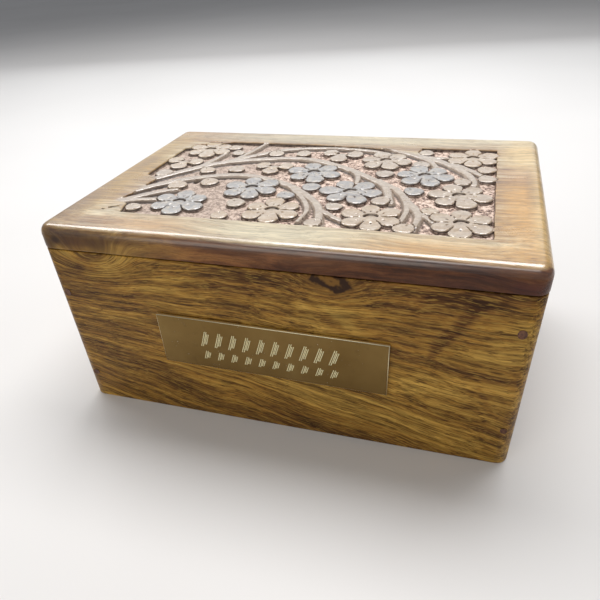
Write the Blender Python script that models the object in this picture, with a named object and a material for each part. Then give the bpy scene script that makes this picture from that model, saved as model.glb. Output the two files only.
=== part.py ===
"""Carved wooden keepsake box for ashes: four walls, a base, a carved lid slab and a brass plate.

The box stands on z = 0 with its front towards -Y and its length along X.
The lid's flowers, stems and leaves are one solid with the lid slab.
All sizes are in metres except the drawn carving pattern, which is in millimetres.
"""

import math

import bmesh
import bpy
from mathutils import Matrix, Vector

# Box and boards
box_length = 0.1524
box_depth = 0.1064
body_height = 0.0620
board_thickness = 0.0080
base_thickness = 0.0060
joint_gap = 0.0003
body_corner_radius = 0.0039
board_corner_steps = 4

# Lid slab
lid_thickness = 0.0077
lid_overhang = 0.0001
lid_round_over = 0.0032
lid_round_steps = 3
lid_field_depth = 0.0030
lid_field_clearance = 0.0008

# Carved panel, sunk in the lid's top
side_margin_left = 0.0131
side_margin_right = 0.0149
margin_front = 0.0146
margin_back = 0.0156
ground_depth = 0.0014
carving_drop = 0.0001
carving_root = 0.0008

# Name plate
plate_length = 0.0762
plate_height = 0.01905
plate_thickness = 0.0010
plate_edge_bevel = 0.0002
plate_centre_x = -0.0008
plate_centre_z = 0.03275
plate_tilt = math.radians(0.57)
stroke_depth = 0.00025
stroke_width = 0.0005
stroke_field_length = 0.0480
stroke_pair_gap = 0.0010
stroke_slant = math.radians(18)
stroke_rows = (
    {"height": 0.0064, "centre": 0.0021, "pairs": 10},
    {"height": 0.0036, "centre": -0.0043, "pairs": 10},
)

# The carving as drawn: millimetres from the lid's centre, on a panel of this length and width
drawn_length = 124.6
drawn_width = 76.4
drawn_centre = (-0.9, -0.5)

# Where the ground was left uncut: drawn points from one edge of the panel to the next
uncut_front_left = ((-57.2, -7.5), (-57.9, -14.5), (-58.6, -22), (-60.8, -29.4), (-56.0, -31.4))
uncut_front_x = -54.2
uncut_left_y = -4.6
uncut_back = ((33.2, 29.0), (27.0, 32.9), (20.0, 35.4), (8.0, 36.5))
uncut_back_from_x = -8.0
uncut_back_to_x = 33.6
uncut_corner_x = -45.0
uncut_corner_y = 27.0

# Flower heads: centre x, centre y, turn of the first petal in degrees, reach to the petals' middles
flowers = (
    (15.8, -9.8, -2, 7.1),
    (26.2, -29.1, -20, 6.4),
    (52.2, -29.2, -28, 6.3),
    (50.5, -8.5, -9, 6.6),
    (37.9, 8.2, -8, 6.7),
    (22.2, 22.4, -8, 6.3),
    (53.0, 28.4, -28, 6.3),
    (-1.3, 6.5, -12, 6.7),
    (-18.7, -11.3, -15, 6.8),
    (-5.3, -28.8, -21, 6.4),
    (-38.6, -27.0, -24, 6.6),
    (-51.8, 27.6, -20, 6.4),
)
flower_petals = 6

# Half-open flowers: the same four values, with three petals
half_flowers = (
    (4.3, 27.5, 162, 4.4),
    (-18.0, 10.6, 166, 4.2),
    (-55.6, 11.6, 160, 4.3),
)
half_flower_petals = 3
half_flower_spread = 104

# Single leaves: middle x, middle y, direction of the tip in degrees, length
leaves = (
    (-58.0, -1.0, -60, 6.8),
    (-46.6, -12.5, -60, 7.0),
    (-36.4, -7.6, -55, 7.0),
    (-42.4, 4.0, -50, 6.6),
    (-31.3, 6.2, -75, 6.2),
    (-22.2, 26.0, -70, 6.6),
    (-11.0, 26.9, -85, 6.2),
    (-4.9, -16.1, -60, 6.0),
    (1.4, -7.3, -30, 6.8),
    (-19.2, -24.7, -50, 6.4),
    (-20.6, -35.0, -75, 5.8),
    (-52.3, -33.4, -50, 5.4),
    (10.2, -35.6, -100, 5.6),
    (13.2, -22.5, -40, 6.0),
    (27.0, -16.1, -110, 6.4),
    (23.9, 8.8, -30, 6.5),
    (35.9, -6.3, -40, 6.8),
    (42.7, -21.9, -35, 5.6),
    (36.9, -34.9, -110, 6.6),
    (35.3, 19.4, -80, 6.2),
    (35.8, 33.3, -85, 6.0),
    (50.7, 3.9, -80, 6.0),
    (58.4, 8.0, -75, 6.4),
    (57.9, 16.6, -60, 6.2),
    (-42.2, 31.6, -60, 6.0),
    (-38.0, 24.8, -70, 5.6),
)

# Stems: width, then the points that each runs through
stems = (
    (3.4, (
        (-64, -28), (-57.5, -17), (-44.9, -5.8), (-28, 0.4), (-11, -4.3), (1, -13.6), (8.6, -24), (12, -37),
    )),
    (2.0, ((-4, -10.5), (3, -20), (5.8, -28), (5.2, -35.5))),
    (2.2, ((10.5, -26.5), (14.2, -29.8), (19, -33.5))),
    (3.4, (
        (-65, -16), (-56.5, -5), (-41.5, 11.5), (-20, 19.9), (-6, 20.3), (10, 11.9), (25, -2), (30, -17),
    )),
    (2.2, ((10, 12.2), (14.9, 5.8), (16.2, -2))),
    (2.4, ((23, 2), (30.6, -6.6), (35.6, -19), (35.4, -30))),
    (2.8, ((30, -5), (35, -14.5), (39.6, -25), (39.4, -36))),
    (2.0, ((38, -19), (40.7, -24.4), (45, -30.5))),
    (2.8, ((-40, 12.5), (-29, 23.5), (-18, 31.6), (-2, 34.9), (14, 33.4), (25, 28.6))),
    (2.8, ((12, 40), (24, 34.8), (36.5, 25.5), (42, 15))),
    (3.4, ((33, 29.5), (43, 23), (49.5, 15.5), (53.5, 8), (54.5, 1.5))),
    (2.6, ((45, 23), (50.8, 17.8), (58, 9.5))),
    (2.0, ((36.5, 28), (46, 27.4))),
    (2.4, ((-36, 17.5), (-33.2, 26), (-30.6, 38))),
    (2.4, ((-47.5, 6), (-44.6, 15), (-42.6, 25))),
    (3.0, ((-64, -32.5), (-55, -27.6), (-44, -25.2))),
)
stem_step = 4.6

# Forms of the petals, buttons and leaves, in drawn millimetres
petal_radius = 3.05
petal_root_half_width = 1.0
petal_root_reach = 1.5
petal_arc = math.radians(250)
petal_arc_points = 7
button_radius = 2.1
button_sides = 8
leaf_width_share = 0.90
leaf_sides = 10
crown_height = 0.0003
crown_inset_share = 0.30
stem_draft = 0.35
hand_wander = 0.045

# Places worked out from the sizes above
plate_stand = joint_gap + plate_thickness
body_centre_y = (plate_stand - lid_overhang) / 2
front_y = body_centre_y - box_depth / 2
back_y = body_centre_y + box_depth / 2
inner_front_y = front_y + board_thickness
inner_back_y = back_y - board_thickness
inner_half_length = box_length / 2 - board_thickness
lid_under = body_height + joint_gap
lid_top = lid_under + lid_thickness
lid_half_length = box_length / 2 + lid_overhang
lid_half_depth = box_depth / 2 + lid_overhang
panel_left = -lid_half_length + side_margin_left
panel_right = lid_half_length - side_margin_right
panel_front = body_centre_y - lid_half_depth + margin_front
panel_back = body_centre_y + lid_half_depth - margin_back
panel_centre = Vector(((panel_left + panel_right) / 2, (panel_front + panel_back) / 2))
ground_z = lid_top - ground_depth
pattern_scale_x = (panel_right - panel_left) / drawn_length
pattern_scale_y = (panel_back - panel_front) / drawn_width


def clear_scene():
    for item in list(bpy.data.objects):
        bpy.data.objects.remove(item, do_unlink=True)


def make_material(name, colour, roughness, metallic=0.0):
    material = bpy.data.materials.new(name)
    material.use_nodes = True
    shader = material.node_tree.nodes["Principled BSDF"]
    shader.inputs["Base Color"].default_value = (*colour, 1.0)
    shader.inputs["Roughness"].default_value = roughness
    shader.inputs["Metallic"].default_value = metallic
    material.diffuse_color = (*colour, 1.0)
    return material


def finish_object(mesh_data, name, material):
    """Turn a bmesh into a named object with its faces pointing outwards."""
    bmesh.ops.recalc_face_normals(mesh_data, faces=mesh_data.faces)
    mesh = bpy.data.meshes.new(name)
    mesh_data.to_mesh(mesh)
    mesh_data.free()
    mesh.materials.append(material)
    made = bpy.data.objects.new(name, mesh)
    bpy.context.collection.objects.link(made)
    return made


def hide_cutter(cutter):
    cutter.hide_render = True
    cutter.display_type = "WIRE"


def add_boolean(target, cutter, operation, self_crossing=False):
    hide_cutter(cutter)
    modifier = target.modifiers.new(cutter.name, "BOOLEAN")
    modifier.object = cutter
    modifier.operation = operation
    modifier.solver = "EXACT"
    modifier.use_self = self_crossing


def block(low, high):
    """A bmesh block between two corners."""
    mesh_data = bmesh.new()
    bmesh.ops.create_cube(mesh_data, size=1.0)
    low = Vector(low)
    size = Vector(high) - low
    bmesh.ops.scale(mesh_data, vec=size, verts=mesh_data.verts)
    bmesh.ops.translate(mesh_data, vec=low + size / 2, verts=mesh_data.verts)
    return mesh_data


def round_edges(mesh_data, wanted, radius, steps):
    edges = [edge for edge in mesh_data.edges if wanted(edge)]
    bmesh.ops.bevel(
        mesh_data,
        geom=edges,
        offset=radius,
        offset_type="OFFSET",
        segments=steps,
        profile=0.5,
        affect="EDGES",
        material=-1,
    )


def is_upright(edge):
    a, b = (vert.co for vert in edge.verts)
    return (a - b).xy.length < 1e-7


def make_wall(name, low, high, material, outer_side=0):
    """A wall board; outer_side is the sign of Y of its face with the rounded upright corners."""
    mesh_data = block(low, high)
    if outer_side:
        outer_y = high[1] if outer_side > 0 else low[1]
        radius = min(body_corner_radius, 0.95 * (high[1] - low[1]))
        round_edges(
            mesh_data,
            lambda edge: is_upright(edge) and abs(edge.verts[0].co.y - outer_y) < 1e-6,
            radius,
            board_corner_steps,
        )
    return finish_object(mesh_data, name, material)


def make_body(wood):
    half = box_length / 2
    end_front = inner_front_y + joint_gap
    end_back = inner_back_y - joint_gap
    make_wall("front_board", (-half, front_y, 0), (half, inner_front_y, body_height), wood, -1)
    make_wall("back_board", (-half, inner_back_y, 0), (half, back_y, body_height), wood, 1)
    make_wall("left_end_board", (-half, end_front, 0), (-inner_half_length, end_back, body_height), wood)
    make_wall("right_end_board", (inner_half_length, end_front, 0), (half, end_back, body_height), wood)
    make_wall(
        "base_board",
        (-inner_half_length + joint_gap, end_front, 0),
        (inner_half_length - joint_gap, end_back, base_thickness),
        wood,
    )


def place(x, y):
    """A drawn point of the carving, in metres on the lid."""
    return Vector((
        panel_centre.x + (x - drawn_centre[0]) * pattern_scale_x,
        panel_centre.y + (y - drawn_centre[1]) * pattern_scale_y,
    ))


def hand(x, y, turn):
    """A small share that differs from form to form, as hand carving does."""
    return hand_wander * math.sin(1.7 * x + 2.3 * y + 0.9 * turn)


def add_crowned_form(mesh_data, outline, middle, top, root):
    """A raised form: walls up from root, a sloped rim and a flat crown, on a drawn outline."""
    rim = top - crown_height
    levels = []
    for height, share in ((root, 1.0), (rim, 1.0), (top, 1.0 - crown_inset_share)):
        ring = []
        for x, y in outline:
            spot = place(middle[0] + (x - middle[0]) * share, middle[1] + (y - middle[1]) * share)
            ring.append(mesh_data.verts.new((spot.x, spot.y, height)))
        levels.append(ring)
    count = len(outline)
    for lower, upper in zip(levels, levels[1:]):
        for i in range(count):
            j = (i + 1) % count
            mesh_data.faces.new((lower[i], lower[j], upper[j], upper[i]))
    mesh_data.faces.new(levels[-1])
    mesh_data.faces.new(list(reversed(levels[0])))


def petal_outline(centre, direction, reach, radius):
    """A round lobe that narrows towards the flower's middle."""
    along = Vector((math.cos(direction), math.sin(direction)))
    across = Vector((-along.y, along.x))
    lobe = Vector(centre) + along * reach
    points = []
    for i in range(petal_arc_points):
        angle = -petal_arc / 2 + petal_arc * i / (petal_arc_points - 1)
        points.append(lobe + radius * (along * math.cos(angle) + across * math.sin(angle)))
    root = Vector(centre) + along * petal_root_reach
    points.append(root + across * petal_root_half_width)
    points.append(root - across * petal_root_half_width)
    return points, lobe


def add_flower(mesh_data, x, y, turn, reach, petals, spread, top, root):
    for i in range(petals):
        direction = turn + i * spread
        share = hand(x, y, direction)
        outline, lobe = petal_outline(
            (x, y), math.radians(direction), reach * (1 + share), petal_radius * (1 + share)
        )
        add_crowned_form(mesh_data, outline, lobe, top + share * crown_height, root)
    circle = [
        (
            x + button_radius * math.cos(2 * math.pi * (i + 0.3) / button_sides),
            y + button_radius * math.sin(2 * math.pi * (i + 0.3) / button_sides),
        )
        for i in range(button_sides)
    ]
    add_crowned_form(mesh_data, circle, (x, y), top + carving_drop / 2, root - joint_gap)


def add_leaf(mesh_data, x, y, turn, length, top, root):
    """An egg-shaped leaf, broad at its tip."""
    direction = math.radians(turn)
    along = Vector((math.cos(direction), math.sin(direction)))
    across = Vector((-along.y, along.x))
    width = length * leaf_width_share * (1 + hand(x, y, turn))
    outline = []
    for i in range(leaf_sides):
        angle = 2 * math.pi * (i + 0.5) / leaf_sides
        taper = 1 + 0.18 * math.cos(angle)
        outline.append(
            Vector((x, y))
            + along * (length / 2 * math.cos(angle))
            + across * (width / 2 * math.sin(angle) * taper)
        )
    add_crowned_form(mesh_data, outline, (x, y), top, root)


def smooth_path(points, step):
    """Points a step apart on the smooth curve through the given ones."""
    points = [Vector(point) for point in points]
    first = points[0] * 2 - points[1]
    last = points[-1] * 2 - points[-2]
    guide = [first, *points, last]
    path = [points[0]]
    for a, b, c, d in zip(guide, guide[1:], guide[2:], guide[3:]):
        count = max(1, round((c - b).length / step))
        for i in range(1, count + 1):
            t = i / count
            path.append(0.5 * (
                2 * b + (c - a) * t + (2 * a - 5 * b + 4 * c - d) * t * t + (3 * b - a - 3 * c + d) * t ** 3
            ))
    return path


def add_stem(mesh_data, width, points, top, root):
    """A flat-topped band with sloping sides along a smooth path."""
    path = smooth_path(points, stem_step)
    rows = []
    for i, spot in enumerate(path):
        ahead = path[min(i + 1, len(path) - 1)]
        behind = path[max(i - 1, 0)]
        along = (ahead - behind).normalized()
        across = Vector((-along.y, along.x))
        row = []
        for side, height in ((-1, root), (-1, top), (1, top), (1, root)):
            half = width / 2 + (stem_draft if height == root else 0)
            corner = place(*(spot + across * side * half))
            row.append(mesh_data.verts.new((corner.x, corner.y, height)))
        rows.append(row)
    for lower, upper in zip(rows, rows[1:]):
        for i in range(4):
            j = (i + 1) % 4
            mesh_data.faces.new((lower[i], lower[j], upper[j], upper[i]))
    mesh_data.faces.new(rows[0])
    mesh_data.faces.new(list(reversed(rows[-1])))


def make_recess(wood):
    """The cutter for the sunk ground: a rectangle less the places that were left uncut."""
    outline = [
        Vector((panel_left, place(0, uncut_left_y).y)),
        *(place(*point) for point in uncut_front_left),
        Vector((place(uncut_front_x, 0).x, panel_front)),
        Vector((panel_right, panel_front)),
        Vector((panel_right, panel_back)),
        Vector((place(uncut_back_to_x, 0).x, panel_back)),
        *(place(*point) for point in uncut_back),
        Vector((place(uncut_back_from_x, 0).x, panel_back)),
        Vector((place(uncut_corner_x, 0).x, panel_back)),
        Vector((panel_left, place(0, uncut_corner_y).y)),
    ]
    mesh_data = bmesh.new()
    floor = mesh_data.faces.new([mesh_data.verts.new((spot.x, spot.y, ground_z)) for spot in outline])
    raised = bmesh.ops.extrude_face_region(mesh_data, geom=[floor])["geom"]
    top_verts = [item for item in raised if isinstance(item, bmesh.types.BMVert)]
    bmesh.ops.translate(mesh_data, vec=(0, 0, 2 * ground_depth), verts=top_verts)
    return finish_object(mesh_data, "panel_recess", wood)


def make_carving(wood):
    """All flowers, leaves and stems, which the lid takes up in one union."""
    mesh_data = bmesh.new()
    top = lid_top - carving_drop
    root = ground_z - carving_root
    level = carving_root / (len(stems) + 4)
    for i, (width, points) in enumerate(stems):
        add_stem(mesh_data, width, points, top - carving_drop - level * i / 4, root + level * i / 2)
    for i, (x, y, turn, reach) in enumerate(flowers):
        spread = 360 / flower_petals
        add_flower(mesh_data, x, y, turn, reach, flower_petals, spread, top, root - level * (i + 1) / 8)
    for i, (x, y, turn, reach) in enumerate(half_flowers):
        low = root - level * (i + 1) / 7
        add_flower(mesh_data, x, y, turn, reach, half_flower_petals, half_flower_spread, top, low)
    for i, (x, y, turn, length) in enumerate(leaves):
        add_leaf(mesh_data, x, y, turn, length, top + carving_drop / 4, root - level * (i + 9) / 9)
    return finish_object(mesh_data, "carving", wood)


def make_lid(wood, carving_wood):
    mesh_data = block(
        (-lid_half_length, body_centre_y - lid_half_depth, lid_under),
        (lid_half_length, body_centre_y + lid_half_depth, lid_top),
    )
    corner_radius = body_corner_radius + lid_overhang
    round_edges(mesh_data, is_upright, corner_radius, board_corner_steps)
    round_edges(
        mesh_data,
        lambda edge: all(abs(vert.co.z - lid_top) < 1e-7 for vert in edge.verts),
        min(lid_round_over, 0.9 * corner_radius),
        lid_round_steps,
    )
    lid = finish_object(mesh_data, "lid", wood)

    field_half_length = inner_half_length - lid_field_clearance
    field = finish_object(
        block(
            (-field_half_length, inner_front_y + lid_field_clearance, lid_under - lid_field_depth),
            (field_half_length, inner_back_y - lid_field_clearance, lid_under + lid_thickness / 4),
        ),
        "lid_field",
        wood,
    )
    add_boolean(lid, field, "UNION")
    add_boolean(lid, make_recess(carving_wood), "DIFFERENCE")
    add_boolean(lid, make_carving(carving_wood), "UNION", self_crossing=True)


def make_strokes(metal, face_y):
    """Rows of slanted double strokes, as one cutter in the plate's own upright plane."""
    mesh_data = bmesh.new()
    lean = Matrix.Rotation(stroke_slant, 4, "Y")
    for row in stroke_rows:
        pitch = stroke_field_length / row["pairs"]
        for i in range(row["pairs"]):
            middle_x = -stroke_field_length / 2 + pitch * (i + 0.5)
            for side in (-1, 1):
                made = bmesh.ops.create_cube(mesh_data, size=1.0)["verts"]
                short = 1.0 if side < 0 else 0.7
                bmesh.ops.scale(
                    mesh_data, vec=(stroke_width, 2 * stroke_depth, row["height"] * short), verts=made
                )
                spot = Vector((middle_x + side * stroke_pair_gap / 2, face_y, row["centre"]))
                bmesh.ops.transform(mesh_data, matrix=Matrix.Translation(spot) @ lean, verts=made)
    return finish_object(mesh_data, "plate_strokes", metal)


def make_plate(metal):
    """The plate is modelled about its own centre, then turned and set on the front board."""
    half = Vector((plate_length, plate_thickness, plate_height)) / 2
    mesh_data = block(-half, half)
    round_edges(
        mesh_data,
        lambda edge: all(abs(vert.co.y + half.y) < 1e-7 for vert in edge.verts),
        plate_edge_bevel,
        1,
    )
    plate = finish_object(mesh_data, "name_plate", metal)
    strokes = make_strokes(metal, -half.y)
    add_boolean(plate, strokes, "DIFFERENCE")
    holder = bpy.data.objects.new("plate_holder", None)
    bpy.context.collection.objects.link(holder)
    holder.location = (plate_centre_x, front_y - joint_gap - half.y, plate_centre_z)
    holder.rotation_euler = (0, plate_tilt, 0)
    for piece in (plate, strokes):
        piece.parent = holder


def main():
    clear_scene()
    wood = make_material("lacquered_wood", (0.28, 0.15, 0.055), 0.35)
    lid_wood = make_material("lid_wood", (0.42, 0.27, 0.14), 0.35)
    carving_wood = make_material("carved_wood", (0.36, 0.27, 0.20), 0.6)
    brass = make_material("brushed_brass", (0.42, 0.31, 0.13), 0.35, 1.0)
    make_body(wood)
    make_lid(lid_wood, carving_wood)
    make_plate(brass)
    bpy.context.view_layer.update()


main()
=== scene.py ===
import math

import bmesh
import bpy
import numpy as np
from mathutils import Matrix, Vector


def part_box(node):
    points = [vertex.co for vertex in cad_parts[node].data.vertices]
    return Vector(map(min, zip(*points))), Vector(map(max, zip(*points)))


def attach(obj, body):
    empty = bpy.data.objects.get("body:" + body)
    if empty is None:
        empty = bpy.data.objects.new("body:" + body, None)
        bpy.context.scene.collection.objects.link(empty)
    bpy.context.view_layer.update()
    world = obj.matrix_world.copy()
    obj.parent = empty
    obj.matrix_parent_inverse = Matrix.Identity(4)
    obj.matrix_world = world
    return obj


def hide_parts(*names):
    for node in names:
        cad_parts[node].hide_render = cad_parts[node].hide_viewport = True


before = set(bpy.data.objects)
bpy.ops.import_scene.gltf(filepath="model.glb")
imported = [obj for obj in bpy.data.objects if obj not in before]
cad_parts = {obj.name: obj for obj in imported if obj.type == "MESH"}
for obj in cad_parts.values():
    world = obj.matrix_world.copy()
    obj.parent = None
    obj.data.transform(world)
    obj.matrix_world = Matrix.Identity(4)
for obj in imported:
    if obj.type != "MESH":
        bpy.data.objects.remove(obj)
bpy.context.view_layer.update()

print("frame loaded:", sorted(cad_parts))

mm = 0.001

# where the photograph was taken from
view = {
    "place": (0.053388, -0.178868, 0.135847),
    "turn": (52.7358, 3.1934, 16.8601),  # degrees about X, Y and Z
    "lens": 32.252,
    "shift": (0.00122, 0.08617),
}

# soft studio light: place, what it faces, size, power in watts, colour
lamps = {
    "windowBehind": {"place": (-0.16, 0.66, 0.30), "aim": (0, 0, 0.07), "size": (1.00, 0.42),
                     "power": 1.0, "colour": (0.92, 0.96, 1.0)},
    "ceiling": {"place": (0.04, 0.31, 0.80), "aim": (0, 0, 0.05), "size": (0.70, 0.42),
                "power": 6.4, "colour": (0.98, 0.98, 1.0)},
    "ceilingLeft": {"place": (-0.62, 0.36, 0.80), "aim": (0, 0, 0.05), "size": (0.56, 0.30),
                    "power": 2.8, "colour": (0.98, 0.98, 1.0)},
    "roomFront": {"place": (-0.25, -0.80, 0.42), "aim": (0, 0, 0.03), "size": (0.70, 0.50),
                  "power": 0.95, "colour": (1.0, 0.94, 0.84)},
    "frontAbove": {"place": (-0.02, -0.42, 0.78), "aim": (0, 0, 0.05), "size": (0.60, 0.20),
                   "power": 0.9, "colour": (1.0, 0.98, 0.95)},
}


def addObject(name, data):
    made = bpy.data.objects.new(name, data)
    bpy.context.scene.collection.objects.link(made)
    return made


def makeCamera():
    data = bpy.data.cameras.new("photoCamera")
    data.lens = view["lens"]
    data.sensor_width = 36
    data.sensor_fit = "HORIZONTAL"
    data.shift_x, data.shift_y = view["shift"]
    data.clip_start = 0.01
    camera = addObject("photoCamera", data)
    camera.location = view["place"]
    camera.rotation_euler = [math.radians(angle) for angle in view["turn"]]
    bpy.context.scene.camera = camera


def makeLamps():
    for name, lamp in lamps.items():
        data = bpy.data.lights.new(name, "AREA")
        data.shape = "RECTANGLE"
        data.size, data.size_y = lamp["size"]
        data.energy = lamp["power"]
        data.color = lamp["colour"]
        made = addObject(name, data)
        made.location = lamp["place"]
        facing = Vector(lamp["aim"]) - Vector(lamp["place"])
        made.rotation_euler = facing.to_track_quat("-Z", "Y").to_euler()


def makeRoom():
    world = bpy.data.worlds.new("softRoom")
    world.use_nodes = True
    back = world.node_tree.nodes["Background"]
    back.inputs["Color"].default_value = (0.90, 0.93, 1.0, 1)
    back.inputs["Strength"].default_value = 0.22
    bpy.context.scene.world = world
    bpy.context.scene.view_settings.view_transform = "Standard"


# shader node helpers

def plug(tree, target, sockets):
    for socket, value in sockets.items():
        if isinstance(value, bpy.types.NodeSocket):
            tree.links.new(value, target.inputs[socket])
        else:
            target.inputs[socket].default_value = value


def node(tree, kind, sockets=None, **settings):
    made = tree.nodes.new(kind)
    for name, value in settings.items():
        setattr(made, name, value)
    plug(tree, made, sockets or {})
    return made


def calc(tree, operation, first, second=0.0, third=0.0, clamp=False):
    sockets = {0: first, 1: second, 2: third}
    return node(tree, "ShaderNodeMath", sockets, operation=operation, use_clamp=clamp).outputs[0]


def times(tree, first, second):
    return calc(tree, "MULTIPLY", first, second)


def mixColour(tree, amount, first, second, mode="MIX"):
    first, second = ((*colour, 1) if isinstance(colour, tuple) else colour for colour in (first, second))
    sockets = {0: amount, 6: first, 7: second}
    return node(tree, "ShaderNodeMix", sockets, data_type="RGBA", blend_type=mode).outputs[2]


def shadeBy(tree, colour, value):
    grey = node(tree, "ShaderNodeCombineColor", {0: value, 1: value, 2: value}).outputs[0]
    return mixColour(tree, 1.0, colour, grey, "MULTIPLY")


def ramp(tree, value, stops):
    made = node(tree, "ShaderNodeValToRGB", {0: value})
    band = made.color_ramp
    while len(band.elements) < len(stops):
        band.elements.new(0.5)
    for element, (spot, colour) in zip(band.elements, stops):
        element.position = spot
        element.color = (*colour, 1)
    return made.outputs["Color"]


def span(tree, value, low, high, newLow=0.0, newHigh=1.0):
    sockets = {0: value, 1: low, 2: high, 3: newLow, 4: newHigh}
    return node(tree, "ShaderNodeMapRange", sockets, interpolation_type="SMOOTHSTEP").outputs[0]


def noise(tree, vector, scale, detail=2.0, rough=0.5, warp=0.0):
    sockets = {"Vector": vector, "Scale": scale, "Detail": detail, "Roughness": rough, "Distortion": warp}
    return node(tree, "ShaderNodeTexNoise", sockets)


def newGroup(name, inputs, outputs):
    tree = bpy.data.node_groups.new(name, "ShaderNodeTree")
    for label, (kind, value) in inputs.items():
        socket = tree.interface.new_socket(label, in_out="INPUT", socket_type="NodeSocket" + kind)
        if value is not None:
            socket.default_value = value
    for label, kind in outputs.items():
        tree.interface.new_socket(label, in_out="OUTPUT", socket_type="NodeSocket" + kind)
    return tree, tree.nodes.new("NodeGroupInput").outputs, tree.nodes.new("NodeGroupOutput")


def use(tree, group, sockets):
    made = tree.nodes.new("ShaderNodeGroup")
    made.node_tree = group
    plug(tree, made, sockets)
    return made.outputs


# shared effects

def makeWoodFigure():
    # grain runs along X of the incoming vector; every output is 0 to 1
    tree, given, outlet = newGroup(
        "woodFigure",
        {"Vector": ("Vector", None), "Wander": ("Float", 0.004), "Curl": ("Float", 0.5)},
        {"Tone": "Float", "Streaks": "Float", "Flecks": "Float", "Glints": "Float", "Height": "Float"},
    )
    drift = noise(tree, given["Vector"], 24, 2.5, 0.5, 0.2)
    parts = node(tree, "ShaderNodeSeparateXYZ", {0: given["Vector"]}).outputs
    driftParts = node(tree, "ShaderNodeSeparateColor", {0: drift.outputs["Color"]}).outputs
    across = calc(tree, "MULTIPLY_ADD", calc(tree, "SUBTRACT", driftParts[0], 0.5), given["Wander"], parts[2])
    depth = calc(tree, "MULTIPLY_ADD", calc(tree, "SUBTRACT", driftParts[1], 0.5), given["Wander"], parts[1])

    def layer(along, side, detail, rough, warp=0.0):
        x = times(tree, parts[0], along)
        y = times(tree, depth, side)
        z = times(tree, across, side)
        spot = node(tree, "ShaderNodeCombineXYZ", {0: x, 1: y, 2: z}).outputs[0]
        return noise(tree, spot, 1.0, detail, rough, warp).outputs[0]

    broad = layer(8, 60, 2.0, 0.5)
    bands = layer(18, 420, 4.0, 0.66, 0.15)
    lines = span(tree, layer(60, 1300, 2.5, 0.7), 0.40, 0.60)
    fibres = layer(220, 3000, 1.5, 0.6)
    curly = layer(260, 700, 3.0, 0.7, 0.8)
    curlPart = times(tree, calc(tree, "SUBTRACT", curly, 0.5), given["Curl"])
    tone = calc(tree, "MULTIPLY_ADD", broad, 0.50, times(tree, bands, 0.50))
    tone = calc(tree, "ADD", span(tree, tone, 0.30, 0.70), curlPart, clamp=True)
    bandLines = span(tree, bands, 0.38, 0.62)
    streaks = calc(tree, "MULTIPLY_ADD", bandLines, 0.4, times(tree, lines, 0.6))
    flecks = span(tree, fibres, 0.42, 0.30)
    glints = span(tree, fibres, 0.53, 0.63)
    height = calc(tree, "MULTIPLY_ADD", lines, 0.6, times(tree, flecks, -0.7))
    plug(tree, outlet, {"Tone": tone, "Streaks": streaks, "Flecks": flecks, "Glints": glints,
                        "Height": height})
    return tree


def makeKnotPull():
    # how far a knot or burr pulls the grain aside, and where its core is
    tree, given, outlet = newGroup(
        "knotPull",
        {"Vector": ("Vector", None), "Centre": ("Vector", (0, 0, 0)), "Stretch": ("Vector", (1, 1, 1)),
         "Pull": ("Float", 0.005)},
        {"Offset": "Float", "Core": "Float", "Rings": "Float"},
    )
    def combine(operation, *vectors):
        return node(tree, "ShaderNodeVectorMath", dict(enumerate(vectors)), operation=operation).outputs

    away = combine("SUBTRACT", given["Vector"], given["Centre"])[0]
    reach = combine("LENGTH", combine("MULTIPLY", away, given["Stretch"])[0])[1]
    rough = noise(tree, given["Vector"], 300, 2, 0.5)
    square = times(tree, reach, reach)
    reach = calc(tree, "ADD", reach, calc(tree, "MULTIPLY_ADD", rough.outputs[0], 0.9, -0.45))
    fall = calc(tree, "EXPONENT", times(tree, square, -1.0))
    rings = calc(tree, "MULTIPLY_ADD", calc(tree, "SINE", times(tree, reach, 10.0)), 0.5, 0.5)
    plug(tree, outlet, {
        "Offset": times(tree, fall, given["Pull"]),
        "Core": span(tree, reach, 0.95, 0.55),
        "Rings": rings,
    })
    return tree


def makeSoftPatch():
    # a ragged oval patch at a place, turned and stretched
    tree, given, outlet = newGroup(
        "softPatch",
        {"Vector": ("Vector", None), "Centre": ("Vector", (0, 0, 0)), "Turn": ("Vector", (0, 0, 0)),
         "Size": ("Vector", (0.01, 0.01, 0.01)), "Edge": ("Float", 0.5)},
        {"Mask": "Float"},
    )
    local = node(tree, "ShaderNodeMapping", {
        "Vector": given["Vector"], "Location": given["Centre"], "Rotation": given["Turn"],
        "Scale": given["Size"],
    }, vector_type="TEXTURE").outputs[0]
    reach = node(tree, "ShaderNodeVectorMath", {0: local}, operation="LENGTH").outputs[1]
    ragged = noise(tree, given["Vector"], 260, 3, 0.6).outputs[0]
    reach = calc(tree, "ADD", reach, calc(tree, "MULTIPLY_ADD", ragged, 0.9, -0.45))
    inner = calc(tree, "SUBTRACT", 1.0, given["Edge"])
    outer = calc(tree, "ADD", 1.0, given["Edge"])
    plug(tree, outlet, {"Mask": span(tree, reach, outer, inner)})
    return tree


def makeSatin():
    # the uneven gloss of a wiped lacquer: rubbed patches and fine dust
    tree, given, outlet = newGroup(
        "satinFinish",
        {"Vector": ("Vector", None), "Roughness": ("Float", 0.35), "Spread": ("Float", 0.12)},
        {"Roughness": "Float", "Dust": "Float"},
    )
    rubbed = noise(tree, given["Vector"], 75, 3, 0.6, 0.3).outputs[0]
    fine = noise(tree, given["Vector"], 2600, 1, 0.5).outputs[0]
    rubbed, grain = calc(tree, "SUBTRACT", rubbed, 0.5), calc(tree, "SUBTRACT", fine, 0.5)
    amount = calc(tree, "MULTIPLY_ADD", rubbed, given["Spread"], given["Roughness"])
    amount = calc(tree, "MULTIPLY_ADD", grain, 0.06, amount, clamp=True)
    plug(tree, outlet, {"Roughness": amount, "Dust": span(tree, fine, 0.68, 0.74)})
    return tree


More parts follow.
